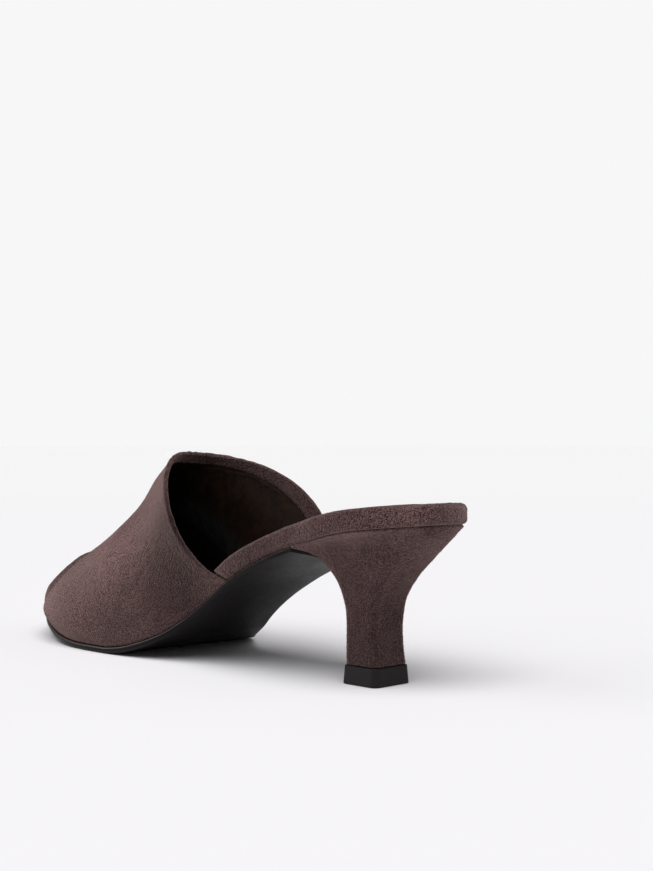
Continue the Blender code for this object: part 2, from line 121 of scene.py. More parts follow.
def ease(x, low, high):  # 0 up to low, 1 from high, an S between
    t = np.clip((np.asarray(x, float) - low) / (high - low), 0, 1)
    return t * t * (3 - 2 * t)


def unit(v):
    return v / np.maximum(np.linalg.norm(v, axis=-1, keepdims=True), 1e-12)


# Outline as one closed loop, back - outer side - toe - inner side, with a smooth cubic through its rows.
loopPoints = np.concatenate([
    np.column_stack([-outline[:, 1], outline[:, 0] * last["length"]]),
    np.column_stack([outline[-2:0:-1, 2], outline[-2:0:-1, 0] * last["length"]]),
])


# Point of the outline at a place (its row number) on the outer (-1) or inner (+1) side, moved in by inset.
def rail(side, place, inset=0.0):
    place, inset = np.broadcast_arrays(np.asarray(place, float), np.asarray(inset, float))
    count = len(loopPoints)
    where = place if side < 0 else count - place
    k = np.floor(where).astype(int)
    t = (where - k)[..., None]
    a, b, c, d = (loopPoints[(k + shift) % count] for shift in (-1, 0, 1, 2))
    square, cube = 2 * a - 5 * b + 4 * c - d, 3 * b - a - 3 * c + d
    point = b + 0.5 * ((c - a) * t + square * t**2 + cube * t**3)
    along = unit((c - a) + 2 * square * t + 3 * cube * t**2)
    inward = np.stack([along[..., 1], -along[..., 0]], -1)
    return point + inward * inset[..., None]


def inwardOf(side, stations):  # level direction into the shoe, square to its outline
    return unit(rail(side, stations, 0.001) - rail(side, stations))


places = np.linspace(0, len(outline) - 1, last["fineSteps"])
sideLength = {side: rail(side, places)[:, 1] for side in (-1, 1)}


def placeAt(side, y):
    return np.interp(y, sideLength[side], places)


def evenPlaces(first, end, count):  # places evenly far apart along the edge
    fine = np.linspace(first, end, last["fineSteps"])
    travelled = sum(np.linalg.norm(np.diff(rail(s, fine), axis=0), axis=1) for s in (-1, 1))
    travelled = np.concatenate([[0], np.cumsum(travelled)])
    return np.interp(np.linspace(0, travelled[-1], count), travelled, fine)


def soleUnder(y):
    heights = profile[:, 1] * last["seatHeight"] + profile[:, 2] * last["toeSpring"]
    return smoothCurve(y, profile[:, 0] * last["length"], heights)


def upright(y):  # a thickness square to the sole stands this much taller
    half = last["slopeSpan"] / 2
    return np.hypot(1, (soleUnder(y + half) - soleUnder(y - half)) / last["slopeSpan"])


def soleTop(y):
    return soleUnder(y) + last["soleThickness"] * upright(y)


def moved(points):  # from the shoe's own middle line into the frame
    return points - np.array([last["middle"], last["length"] / 2, 0])


# Quads between the points of a grid (rows, columns); either way round may be closed.
def gridFaces(rows, columns, closeRows=False, closeColumns=False, flip=False):
    i = np.arange(rows if closeRows else rows - 1)[:, None]
    j = np.arange(columns if closeColumns else columns - 1)[None, :]
    nextRow, nextColumn = (i + 1) % rows * columns, (j + 1) % columns
    corners = [i * columns + j, i * columns + nextColumn, nextRow + nextColumn, nextRow + j]
    if flip:
        corners = [corners[k] for k in (0, 3, 2, 1)]
    return np.stack(corners, -1).reshape(-1, 4)


# Mesh from points in an array of any shape and faces that all have the same number of corners.
def meshFrom(name, points, faces, zones=None):
    points = points.reshape(-1, 3)
    mesh = bpy.data.meshes.new(name)
    mesh.vertices.add(len(points))
    mesh.vertices.foreach_set("co", moved(points).astype(np.float32).ravel())
    mesh.loops.add(faces.size)
    mesh.loops.foreach_set("vertex_index", faces.astype(np.int32).ravel())
    mesh.polygons.add(len(faces))
    mesh.polygons.foreach_set("loop_start", np.arange(len(faces), dtype=np.int32) * faces.shape[1])
    mesh.polygons.foreach_set("use_smooth", np.ones(len(faces), bool))
    if zones is not None:
        mesh.polygons.foreach_set("material_index", zones.astype(np.int32).ravel())
    mesh.update(calc_edges=True)
    mesh.validate()
    return mesh


def addPiece(name, mesh, materials, replaced=()):
    piece = bpy.data.objects.new(name, mesh)
    bpy.context.scene.collection.objects.link(piece)
    for made in materials:
        mesh.materials.append(made)
    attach(piece, "root")
    if replaced:
        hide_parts(*replaced)
    return piece


seams = {"merge": 2e-6, "flat": 1e-7}  # points this near are one; edges this short are dropped


def closeSeams(mesh):  # merge the doubled points of poles and seams, drop what that flattens
    body = bmesh.new()
    body.from_mesh(mesh)
    bmesh.ops.remove_doubles(body, verts=body.verts, dist=seams["merge"])
    bmesh.ops.dissolve_degenerate(body, edges=body.edges, dist=seams["flat"])
    bmesh.ops.recalc_face_normals(body, faces=body.faces)
    body.to_mesh(mesh)
    body.free()
    return mesh


# Materials

def newMaterial(name, roughness, specular, sheen=0.0, sheenRoughness=0.3, sheenTint=(1.0, 1.0, 1.0)):
    made = bpy.data.materials.new(name)
    made.use_nodes = True
    shader = made.node_tree.nodes["Principled BSDF"]
    shader.inputs["Roughness"].default_value = roughness
    shader.inputs["Specular IOR Level"].default_value = specular
    shader.inputs["Sheen Weight"].default_value = sheen
    shader.inputs["Sheen Roughness"].default_value = sheenRoughness
    shader.inputs["Sheen Tint"].default_value = (*sheenTint, 1)
    return made, made.node_tree, shader


def addNode(tree, kind, **values):
    made = tree.nodes.new(kind)
    for name, value in values.items():
        if name in made.inputs:
            made.inputs[name].default_value = value
        else:
            setattr(made, name, value)
    return made


def noiseOf(tree, coords, scale, detail=2.0, roughness=0.5, stretch=None, distortion=0.0):
    if stretch:
        mapping = addNode(tree, "ShaderNodeMapping", Scale=stretch)
        tree.links.new(coords, mapping.inputs["Vector"])
        coords = mapping.outputs["Vector"]
    values = {"Scale": scale, "Detail": detail, "Roughness": roughness, "Distortion": distortion}
    noise = addNode(tree, "ShaderNodeTexNoise", **values)
    tree.links.new(coords, noise.inputs["Vector"])
    return noise.outputs["Fac"]


def mathOf(tree, operation, a, b, clamp=False):
    made = addNode(tree, "ShaderNodeMath", operation=operation, use_clamp=clamp)
    for socket, value in zip(made.inputs, (a, b)):
        if isinstance(value, (int, float)):
            socket.default_value = value
        else:
            tree.links.new(value, socket)
    return made.outputs[0]


def paintTone(mesh, name, values):  # one number for each point, which the suede's material reads
    painted = mesh.attributes.new(name, "FLOAT", "POINT")
    painted.data.foreach_set("value", values.astype(np.float32).ravel())


# Painted light and shade: how much lighter or darker the surface is painted, the sum of amount *
# exp(-(distance / reach)^2) over the spots.
def paintLightAndShade(mesh, spots):
    points = np.empty(len(mesh.vertices) * 3, np.float32)
    mesh.vertices.foreach_get("co", points)
    tone = np.zeros(len(mesh.vertices))
    for x, y, z, reach, amount in spots:
        tone = tone + amount * np.exp(-((points.reshape(-1, 3) - (x, y, z)) ** 2).sum(1) / reach**2)
    paintTone(mesh, "lightShadeTone", tone)


def weighted(tree, parts, base=0.5):  # base + sum of weight * (noise - 0.5)
    total = None
    for socket, weight in parts:
        part = mathOf(tree, "MULTIPLY", mathOf(tree, "SUBTRACT", socket, 0.5), weight)
        total = part if total is None else mathOf(tree, "ADD", total, part)
    return mathOf(tree, "ADD", total, base, clamp=True)


def mixColour(tree, factor, dark, light):
    made = addNode(tree, "ShaderNodeMix", data_type="RGBA")
    for socket in made.inputs:
        if socket.type == "RGBA":
            socket.default_value = (*(dark if socket.name == "A" else light), 1)
    tree.links.new(factor, made.inputs["Factor"])
    return next(out for out in made.outputs if out.type == "RGBA")


def addBump(tree, shader, height, strength, distance):
    bump = addNode(tree, "ShaderNodeBump", Strength=strength, Distance=distance)
    tree.links.new(height, bump.inputs["Height"])
    tree.links.new(bump.outputs["Normal"], shader.inputs["Normal"])


suedeLook = {
    "dark": (0.014, 0.0074, 0.0078),
    "light": (0.165, 0.099, 0.096),
    "grainSize": 0.00034,
    "pileSize": 0.0009,
    "patchSize": 0.018,
    "grain": 5.5,
    "pile": 0.60,
    "patch": 0.60,
    "stroke": 0.15,
    "middle": 0.38,
    "strokeScale": 420,
    "strokeStretch": (1.0, 0.25, 0.55),
    "darkest": 0.2,  # the painted tones never take more than the rest of the brightness
    "bump": (0.7, 0.0006),  # strength, depth
    "sheen": {"sheen": 0.65, "sheenRoughness": 0.28, "sheenTint": (0.86, 0.60, 0.56)},
}


# Suede: fine grain, pile tufts, large patches where the nap was stroked, and streaks along the nap.
def suedeMaterial(name, look, paintedBrightness=1.0):
    made, tree, shader = newMaterial(name, 0.95, 0.08, **look["sheen"])
    coords = addNode(tree, "ShaderNodeTexCoord").outputs["Object"]
    grain = noiseOf(tree, coords, 1 / look["grainSize"], 1.5, 0.6)
    pile = noiseOf(tree, coords, 1 / look["pileSize"], 3.0, 0.6)
    patch = noiseOf(tree, coords, 1 / look["patchSize"], 3.0, 0.5, distortion=0.8)
    stroke = noiseOf(tree, coords, look["strokeScale"], 3.0, 0.6, stretch=look["strokeStretch"])
    parts = [(grain, look["grain"]), (pile, look["pile"]), (patch, look["patch"]), (stroke, look["stroke"])]
    tone = weighted(tree, parts, look["middle"])
    colour = mixColour(tree, tone, [c * paintedBrightness for c in look["dark"]], [c * paintedBrightness for c in look["light"]])
    # the painted light and shade, the painted shade of the rim and the facing, and each fibre's own
    # lightness scale the colour
    brightness = 1.0
    for painted in ("lightShadeTone", "rimPaintedShade", "fibreTone"):
        brushed = addNode(tree, "ShaderNodeAttribute", attribute_name=painted)
        brightness = mathOf(tree, "ADD", brushed.outputs["Fac"], brightness)
    scaled = addNode(tree, "ShaderNodeVectorMath", operation="SCALE")
    tree.links.new(colour, scaled.inputs["Vector"])
    tree.links.new(mathOf(tree, "MAXIMUM", brightness, look["darkest"]), scaled.inputs["Scale"])
    tree.links.new(scaled.outputs["Vector"], shader.inputs["Base Color"])
    addBump(tree, shader, weighted(tree, [(grain, 0.9), (pile, 1.0)]), *look["bump"])
    return made


# Smooth lining leather: pores and long soft wrinkles.
def liningMaterial(name, dark, light):
    made, tree, shader = newMaterial(name, 0.60, 0.12)
    coords = addNode(tree, "ShaderNodeTexCoord").outputs["Object"]
    pores = noiseOf(tree, coords, 1100, 3.0, 0.6)
    fibres = noiseOf(tree, coords, 260, 4.0, 0.65, stretch=(1.0, 1.0, 0.6), distortion=0.5)
    tone = weighted(tree, [(pores, 0.7), (fibres, 1.0)], 0.28)
    tree.links.new(mixColour(tree, tone, dark, light), shader.inputs["Base Color"])
    addBump(tree, shader, weighted(tree, [(pores, 0.7), (fibres, 0.9)]), 0.35, 0.0004)
    return made


# Sole material: nearly black, satin, with a very fine grain and faint rubbed clouds.
def soleMaterial(name, dark, light, roughness, specular):
    made, tree, shader = newMaterial(name, roughness, specular)
    coords = addNode(tree, "ShaderNodeTexCoord").outputs["Object"]
    grain = noiseOf(tree, coords, 2200, 2.0, 0.5)
    rubbed = noiseOf(tree, coords, 55, 4.0, 0.6)
    scratches = noiseOf(tree, coords, 900, 2.0, 0.5, stretch=(1.0, 0.06, 1.0))
    tone = weighted(tree, [(grain, 0.35), (rubbed, 0.8), (scratches, 0.4)], 0.45)
    tree.links.new(mixColour(tree, tone, dark, light), shader.inputs["Base Color"])
    rough = weighted(tree, [(rubbed, 0.25), (scratches, 0.15)], roughness)
    tree.links.new(rough, shader.inputs["Roughness"])
    addBump(tree, shader, weighted(tree, [(grain, 0.5), (scratches, 0.6)]), 0.12, 0.0003)
    return made


suede = suedeMaterial("vampSuede", suedeLook)
# the band's suede is a darker copy and the heel's a lighter copy of the same suede: painted shade and
# painted light for how the light falls on them
bandSuede = suedeMaterial("bandSuede", {**suedeLook, "pile": 0.9, "patch": 0.4, "middle": 0.35})
heelSuede = suedeMaterial("heelSuede", {**suedeLook, "grain": 3.0, "patch": 0.8}, 1.10)
# dark brown leather, its colour darkened further as painted shade for the inside of the shoe
lining = liningMaterial("liningLeather", (0.0015, 0.0007, 0.0004), (0.030, 0.012, 0.005))
insoleLeather = liningMaterial("insoleLeather", (0.006, 0.004, 0.0035), (0.030, 0.018, 0.014))
thread = liningMaterial("threadBrown", (0.030, 0.020, 0.018), (0.075, 0.052, 0.046))
soleRubber = soleMaterial("soleRubber", (0.0012, 0.0006, 0.0008), (0.0050, 0.0032, 0.0040), 0.40, 0.10)
# painted highlight: a much lighter copy of the sole's black for its upper bevel
soleBevel = soleMaterial("soleBevel", (0.026, 0.020, 0.019), (0.095, 0.076, 0.074), 0.32, 0.7)
heelTip = soleMaterial("heelTipRubber", (0.0050, 0.0036, 0.0040), (0.0150, 0.0112, 0.0124), 0.50, 0.20)
napFibre = suedeMaterial("napFibre", {**suedeLook, "middle": 0.45})
print("materials made")


# Vamp

vamp = {
    "wall": 0.0019,
    "lip": 0.0010,  # the outsole stands out past the vamp by this much
    "instepHeight": 0.0773,
    "instepBack": 0.1406,
    "toeHeight": 0.0345,
    "toeBack": 0.2050,
    "rolledEdge": 0.0008,
    "facing": 0.0060,  # width of the suede turned in along the edges
    "seam": 0.0051,  # how far in the stitches run, in a groove
    "seamDepth": 0.00035,
    "seamWidth": 0.0004,
    "suede": 0.0010,  # thickness of the suede where the leather lines it
    "liningWall": 0.0006,
    "liningDrop": 0.00022,  # the turned-in suede stands proud of the lining by this much
    "edgeBand": 0.0085,  # the rows beside both open edges run parallel to them over this width
    "edgeRows": 28,
    "middleRows": 96,
    "edgeLimit": 2.6,  # where a column is shorter than this many such widths, they shrink with it
    "fineRows": 500,
    "columns": 108,  # for each side
    "rollSteps": 5,  # points round each rolled edge
    "feet": (0.0, 0.06),  # share of the way up over which the feet keep to the sole
    "crestFrom": (0.05, 0.20),  # the toe edge's curl grows and fades over these shares of the way across
    "crestTo": (0.345, 0.52),
    "toeLift": 0.0025,  # the toe edge curls up a little on the outer side, behind a soft dip
    "curl": (0.0004, 0.0060),  # distances from the edge over which the curl runs out
    "toeDip": 0.0003,
    "dipPlace": 0.0070,
    "dipWidth": 0.0020,
    "rimWidth": (0.0016, 0.0032),
    "rimPaintedShade": -0.55,  # how much darker the curled edge is painted: painted shade, as its face turns away from the light
    "facingPaintedShade": -0.32,  # how much darker the turned-in side is painted: painted shade inside the shoe
    "facingStep": 0.0002,
    "liningMargin": 0.0001,
    "liningRoll": 0.0002,
    "wrinkle": 0.00006,
    "pile": 0.000035,  # unevenness of the nap
    "pileSeed": 11,
    "wrinkleSeed": 5,
}
vampLightAndShade = [  # x, y and z of a spot, its reach, and how much lighter it is painted there: painted light above zero, painted shade below
    (-0.0246, 0.0372, 0.0386, 0.016, 0.88),
    (-0.0350, 0.0600, 0.0230, 0.015, 0.54),
    (-0.0230, 0.0080, 0.0460, 0.014, -0.85),
    (-0.0267, -0.0090, 0.0300, 0.019, -0.72),
    (-0.0338, 0.0170, 0.0122, 0.014, -0.10),
]
# soft hollows and swells of the worn suede: row share, column share, their spreads, depth
softDents = np.array([
    (0.16, 0.36, 0.10, 0.09, 0.00045),
    (0.42, 0.30, 0.13, 0.10, 0.00040),
    (0.66, 0.36, 0.09, 0.07, -0.00030),
    (0.80, 0.22, 0.10, 0.08, 0.00030),
    (0.34, 0.14, 0.12, 0.05, -0.00025),
    (0.30, 0.66, 0.12, 0.08, 0.00040),
    (0.62, 0.70, 0.10, 0.08, 0.00030),
])
ridgeRows = np.array([  # section, outer foot, inner foot, ridge way, ridge drop, ridge aside
    (0.00, 0.357, 0.319, 0.000, 0.000, -0.019),
    (0.25, 0.480, 0.465, 0.361, 0.310, 0.008),
    (0.50, 0.620, 0.625, 0.519, 0.614, 0.051),
    (0.75, 0.765, 0.780, 0.752, 0.818, 0.055),
    (1.00, 0.932, 0.940, 1.000, 1.000, 0.055),
])
sideRows = np.array([  # section, then swell, rise, shoulder and lean of the outer and of the inner side
    (0.00, 0.035, 0.162, 0.750, 0.667, 0.183, 0.898, 0.880, 0.187),
    (0.25, 0.107, 0.323, 0.167, 0.406, 0.091, 0.671, 0.884, 0.312),
    (0.50, 0.123, 0.411, 0.620, 0.229, 0.100, 0.550, 0.800, 0.340),
    (0.75, 0.182, 0.406, 0.382, 0.250, 0.100, 0.500, 0.700, 0.340),
    (1.00, 0.143, 0.150, 0.565, 0.416, 0.120, 0.400, 0.650, 0.340),
])


# Vamp: each section is two cubic curves, from a foot on the sole's edge, out and up, over to the ridge.
# w runs from the back edge to the toe opening, t from the foot to the ridge.
def vampSurface(w, t):
    def column(table, k):
        return smoothCurve(w, table[:, 0], table[:, k])

    ridge = np.stack([
        column(ridgeRows, 5) * ball,
        vamp["instepBack"] + column(ridgeRows, 3) * (vamp["toeBack"] - vamp["instepBack"]),
        vamp["instepHeight"] - column(ridgeRows, 4) * (vamp["instepHeight"] - vamp["toeHeight"]),
    ], -1)
    halves = []
    for side, footColumn, first in ((-1, 1, 1), (1, 2, 5)):
        swell, rise, shoulder, lean = (column(sideRows, first + k) for k in range(4))
        place = placeAt(side, column(ridgeRows, footColumn) * last["length"])
        edge = rail(side, place, vamp["lip"])
        out = unit(rail(side, place) - edge)
        foot = np.column_stack([edge, soleTop(edge[:, 1])])
        sweep = ridge - foot
        firstPull = foot + np.column_stack([out * (swell * ball)[:, None], rise * sweep[:, 2]])
        firstPull[:, 1] += lean * sweep[:, 1]
        secondPull = ridge - np.column_stack([shoulder * sweep[:, 0], 0 * w, 0 * w])
        p0, p1, p2, p3 = (p[:, None, :] for p in (foot, firstPull, secondPull, ridge))
        s = t[None, :, None]
        halves.append(p0 * (1 - s) ** 3 + 3 * p1 * s * (1 - s) ** 2 + 3 * p2 * s**2 * (1 - s) + p3 * s**3)
    return np.concatenate([halves[0], halves[1][:, ::-1][:, 1:]], 1)


def gridNormals(grid):  # outward normals of the vamp's grid
    return unit(np.cross(np.gradient(grid, axis=1), np.gradient(grid, axis=0)))


# Rows set out by their distance from the open edges, measured along each column: evenly beside the
# edges, so that they run parallel to them, and in even shares of what is left between.
def edgeParallel(fine):
    steps = np.linalg.norm(np.diff(fine, axis=0), axis=2)
    travelled = np.concatenate([np.zeros((1, fine.shape[1])), np.cumsum(steps, 0)])
    whole = travelled[-1]
    shrink = np.minimum(1, whole / (vamp["edgeLimit"] * vamp["edgeBand"]))
    near = np.linspace(0, vamp["edgeBand"], vamp["edgeRows"])[:, None] * shrink
    share = np.linspace(0, 1, vamp["middleRows"] + 2)[1:-1, None]
    between = near[-1] + (whole - 2 * near[-1]) * share
    wanted = np.concatenate([near, between, whole - near[::-1]])
    grid = np.empty(wanted.shape + (3,))
    for column in range(fine.shape[1]):
        for axis in range(3):
            grid[:, column, axis] = np.interp(wanted[:, column], travelled[:, column], fine[:, column, axis])
    return grid, wanted, whole - wanted


def smoothNoise(rng, shape, passes):  # random heights, evened out with their neighbours
    field = rng.normal(size=shape)
    for _ in range(passes):
        field[1:-1] = (field[:-2] + 2 * field[1:-1] + field[2:]) / 4
        field[:, 1:-1] = (field[:, :-2] + 2 * field[:, 1:-1] + field[:, 2:]) / 4
    return field / field.std()


# Shell between two depths under one surface: outer wall, rolled toe edge, inner wall, rolled back edge.
# The walls' feet stand flat on the sole.
def shellLoops(outside, normals, outer, inner, roll):
    walls = []
    for depth in (outer, inner):
        wall = outside - normals * depth
        for edge in (0, -1):
            flat = unit(normals[:, edge] * np.array([1, 1, 0]))
            wall[:, edge] = outside[:, edge] - flat * depth[:, edge]
            wall[:, edge, 2] = soleTop(wall[:, edge, 1])
        walls.append(wall)
    a, b = walls
    along = unit(np.gradient(outside, axis=0))
    angles = np.linspace(0, math.pi, vamp["rollSteps"] + 2)[1:-1, None, None]
    toe = (a[-1] + b[-1]) / 2 + (a[-1] - b[-1]) / 2 * np.cos(angles) + along[-1] * roll * np.sin(angles)
    back = (a[0] + b[0]) / 2 + (b[0] - a[0]) / 2 * np.cos(angles) - along[0] * roll * np.sin(angles)
    return np.concatenate([a, toe, b[::-1], back])


# Faces of such a shell, with strips under both of its feet.
def shellFaces(rows, columns):
    steps = vamp["rollSteps"]
    total = 2 * rows + 2 * steps
    faces = [gridFaces(total, columns, closeRows=True, flip=True)]
    first = np.arange(-(steps // 2) - 1, rows + steps // 2)
    low, high = first % total, (first + 1) % total

    def opposite(ring):
        return (2 * rows + steps - 1 - ring) % total

    for column, turn in ((0, 1), (columns - 1, -1)):
        quad = np.stack([low, opposite(low), opposite(high), high], -1) * columns + column
        faces.append(quad[:, ::turn])
    return np.concatenate(faces)


# The vamp's surface moved along its normals: down by exp(-(du / spread)^2 - (dv / spread)^2) for each
# hollow, up by the toe edge's curl, and by the fine unevenness of the nap.
def wornVamp():
    t = np.linspace(0, 1, vamp["columns"])
    outside, back, toe = edgeParallel(vampSurface(np.linspace(0, 1, vamp["fineRows"]), t))
    normals = gridNormals(outside)
    rows, columns = outside.shape[:2]
    u = np.linspace(0, 1, rows)[:, None]
    v = np.linspace(0, 1, columns)[None, :]
    away = ease(np.minimum(v, 1 - v), *vamp["feet"])
    lift = 0 * u * v
    for row, column, rowSpread, columnSpread, depth in softDents:
        lift = lift - depth * np.exp(-((u - row) / rowSpread) ** 2 - ((v - column) / columnSpread) ** 2)
    crest = ease(v, *vamp["crestFrom"]) * (1 - ease(v, *vamp["crestTo"]))
    lift = lift + crest * vamp["toeLift"] * (1 - ease(toe, *vamp["curl"]))
    lift = lift - crest * vamp["toeDip"] * np.exp(-((toe - vamp["dipPlace"]) / vamp["dipWidth"]) ** 2)
    pile = vamp["pile"] * smoothNoise(np.random.default_rng(vamp["pileSeed"]), lift.shape, 1)
    outside = outside + normals * ((lift + pile) * away)[..., None]
    return outside, normals, back, toe, crest


# Suede: full thickness at the turned-in edge, a groove for the seam, and thinner where it is lined.
def buildSuede(outside, normals, back, toe, crest):
    rows, columns = outside.shape[:2]
    near = np.minimum(back, toe)
    lined = ease(near, vamp["facing"] - vamp["facingStep"], vamp["facing"])
    wall = vamp["wall"] - (vamp["wall"] - vamp["suede"]) * lined
    wall = wall - vamp["seamDepth"] * np.exp(-((near - vamp["seam"]) / vamp["seamWidth"]) ** 2)
    loops = shellLoops(outside, normals, 0 * near[..., None], wall[..., None], vamp["rolledEdge"])
    shell = meshFrom("vampShell", loops, shellFaces(rows, columns))
    dark = np.zeros(loops.shape[:2])
    turned = rows + vamp["rollSteps"]  # from this row on, the suede faces inwards
    # painted shade along the curled toe edge and round its roll
    dark[:rows] = vamp["rimPaintedShade"] * crest * (1 - ease(toe, *vamp["rimWidth"]))
    dark[rows:turned] = vamp["rimPaintedShade"] * crest
    # painted shade on the suede's inner face, which looks into the shoe
    dark[turned:turned + rows] = vamp["facingPaintedShade"]
    paintTone(shell, "rimPaintedShade", dark)
    paintLightAndShade(closeSeams(shell), vampLightAndShade)
    addPiece("vampShell", shell, [suede], ["upper"])


# Lining: a thin leather shell inside, between the two turned-in edges.
def buildLining(outside, normals, back, toe):
    edge = vamp["facing"] + vamp["liningMargin"]
    inside = np.where((back.min(1) > edge) & (toe.min(1) > edge))[0]
    part = slice(inside[0], inside[-1] + 1)
    columns = outside.shape[1]
    skin = np.full((len(inside), columns, 1), vamp["wall"] - vamp["liningDrop"])
    wrinkle = smoothNoise(np.random.default_rng(vamp["wrinkleSeed"]), skin.shape[:2], 6)[..., None]
    outer, inner = skin - vamp["liningWall"], skin + vamp["wrinkle"] * wrinkle
    loops = shellLoops(outside[part], normals[part], outer, inner, vamp["liningRoll"])
    leather = meshFrom("vampLining", loops, shellFaces(len(inside), columns))
    addPiece("vampLining", closeSeams(leather), [lining])


vampOutside, vampNormals, fromBack, fromToe, toeCrest = wornVamp()
buildSuede(vampOutside, vampNormals, fromBack, fromToe, toeCrest)
buildLining(vampOutside, vampNormals, fromBack, fromToe)
print("vamp made")


# Footbed

footbed = {
    "thickness": 0.0070,
    "radius": 0.0015,
    "backRadius": 0.0028,  # the edge grows rounder round the back of the seat
    "backSpan": 0.018,
    "dish": 0.02,
    "shankLip": 0.0010,
    "toeLip": 0.0016,
    "lipBack": 0.0470,
    "blend": 0.0120,
    "step": 0.0010,
    "spread": (0.04, -0.08),  # how far the vamp's sides open for their climb: at the back edge, further on
    "stations": 420,
    "across": 72,
    "crowdPlace": 0.080,  # round here, where the band tucks in under the vamp, stations lie closer
    "crowdWidth": 0.009,
    "crowding": 5,
    "coverRun": 0.020,
    "coverGap": 0.0002,
    "toeGap": 0.0006,
    "lowShare": 0.6,  # the lower edge's radius as a share of the upper one's
    "sockInset": 0.0054,
    "sockStep": (0.0004, 0.0002),
    "sockRise": 0.0005,
    "pile": 0.000025,
    "pileSeed": 20,
}
# painted light and shade on the band: lighter round the back of the seat, darker further forward on the
# outer side
bandLightAndShade = [
    (-0.0132, -0.1160, 0.0578, 0.018, 0.40),
    (-0.0280, -0.0480, 0.0410, 0.020, -0.42),
]


# How far the band lies in from the outline: by the shank's lip, by the vamp's wall where the vamp covers
# it, and by the toe's lip beyond. The change follows the slant of the vamp's back edge.
def footbedInset(side, y, climb):
    foot = ridgeRows[:, 1 if side < 0 else 2] * last["length"]
    rim = vampOutside[0] if side < 0 else vampOutside[0, ::-1]
    rim = rim[:40]  # the lowest points are enough, as the band is not high
    travel = np.interp(climb, (rim[:, 2] - soleTop(rim[:, 1])) / upright(rim[:, 1]), rim[:, 1]) - rim[0, 1]
    behind = y - travel
    waistLip = footbed["shankLip"] * ease(y, footbed["lipBack"] - footbed["blend"], footbed["lipBack"])
    forward = ease(y, foot[0], foot[0] + footbed["coverRun"])
    spread = footbed["spread"][0] + (footbed["spread"][1] - footbed["spread"][0]) * forward
    inside = vamp["lip"] + vamp["wall"] + last["fitGap"] - spread * climb
    start = foot[0] - vamp["rolledEdge"] - footbed["coverGap"]
    covered = ease(behind, start - footbed["step"], start)
    end = foot[-1] + footbed["toeGap"] + last["fitGap"]
    bare = ease(y, end, end + footbed["step"])
    return waistLip + (inside - waistLip) * covered + (footbed["toeLip"] - inside) * bare


# Band: one rounded edge profile carried round both sides, its radii growing round the back.
def bandEdges(stations):
    quarter = np.linspace(0, math.pi / 2, 9)
    edges = {}
    for side in (-1, 1):
        y = rail(side, stations)[:, 1]
        grown = ease(y, 0, footbed["backSpan"])
        radius = footbed["backRadius"] + (footbed["radius"] - footbed["backRadius"]) * grown
        thick = footbed["thickness"] * smoothCurve(y, profile[:, 0] * last["length"], profile[:, 3])
        low = footbed["lowShare"] * radius
        under = [(low * (1 - math.sin(q)), low * (1 - math.cos(q)) + 0 * thick) for q in quarter[:-1:2]]
        walls = [(0 * y, low + (thick - radius - low) * share) for share in np.linspace(0, 1, 9)]
        over = [(radius * (1 - math.cos(q)), thick - radius * (1 - math.sin(q))) for q in quarter[1:]]
        rows = []
        for inward, climb in under + walls + over:
            p = rail(side, stations, footbedInset(side, y, climb) + inward)
            rows.append(np.column_stack([p, soleTop(p[:, 1]) + climb * upright(p[:, 1])]))
        edges[side] = np.stack(rows, 1)
        # the wrapped suede is a little uneven
        rng = np.random.default_rng(footbed["pileSeed"] + side)
        uneven = footbed["pile"] * smoothNoise(rng, edges[side].shape[:2], 1)
        uneven[:, (0, -1)] = 0
        edges[side][..., :2] -= inwardOf(side, stations)[:, None] * uneven[..., None]
    return edges


# Footbed: the bands of both sides, joined across by a dished top and a flat underside. The insole's
# leather is a raised panel inside the wrapped edge.
def buildFootbed():
    even = evenPlaces(0, len(outline) - 1, 1500)
    aside = (rail(-1, even)[:, 1] - footbed["crowdPlace"]) / footbed["crowdWidth"]
    crowd = np.cumsum(1 + footbed["crowding"] * np.exp(-aside ** 2))
    stations = np.interp(np.linspace(crowd[0], crowd[-1], footbed["stations"]), crowd, even)
    edges = bandEdges(stations)
    shares = np.linspace(0, 1, footbed["across"])[1:-1]
    topOuter, topInner = edges[-1][:, -1], edges[1][:, -1]
    width = np.linalg.norm(topInner - topOuter, axis=1)[:, None]
    top = topOuter[:, None] + (topInner - topOuter)[:, None] * shares[None, :, None]
    top[:, :, 2] -= footbed["dish"] * width * 4 * shares * (1 - shares)
    fromSides = [np.linalg.norm(top[..., :2] - rail(side, stations)[:, None], axis=-1) for side in (-1, 1)]
    fromEnd = np.minimum(top[:, :, 1], last["length"] - top[:, :, 1])
    fromEdge = np.minimum(np.minimum(*fromSides), fromEnd)
    before, after = footbed["sockStep"]
    raised = ease(fromEdge, footbed["sockInset"] - before, footbed["sockInset"] + after)
    top[:, :, 2] += footbed["sockRise"] * raised
    lowOuter, lowInner = edges[-1][:, :1], edges[1][:, :1]
    low = lowInner + (lowOuter - lowInner) * np.linspace(0, 1, 6)[1:-1, None]
    rings = np.concatenate([edges[-1], top, edges[1][:, ::-1], low], 1)
    zones = np.zeros(rings.shape[:2], int)
    start = edges[-1].shape[1]
    zones[:, start:start + len(shares)][raised > 0.5] = 1
    mesh = meshFrom("footbedWrap", rings, gridFaces(*rings.shape[:2], closeColumns=True), zones[:-1])
    paintLightAndShade(closeSeams(mesh), bandLightAndShade)
    addPiece("footbedWrap", mesh, [bandSuede, insoleLeather], ["footbed"])
    print("footbed made")
    return edges


footbedEdges = buildFootbed()


# Heel and its top piece

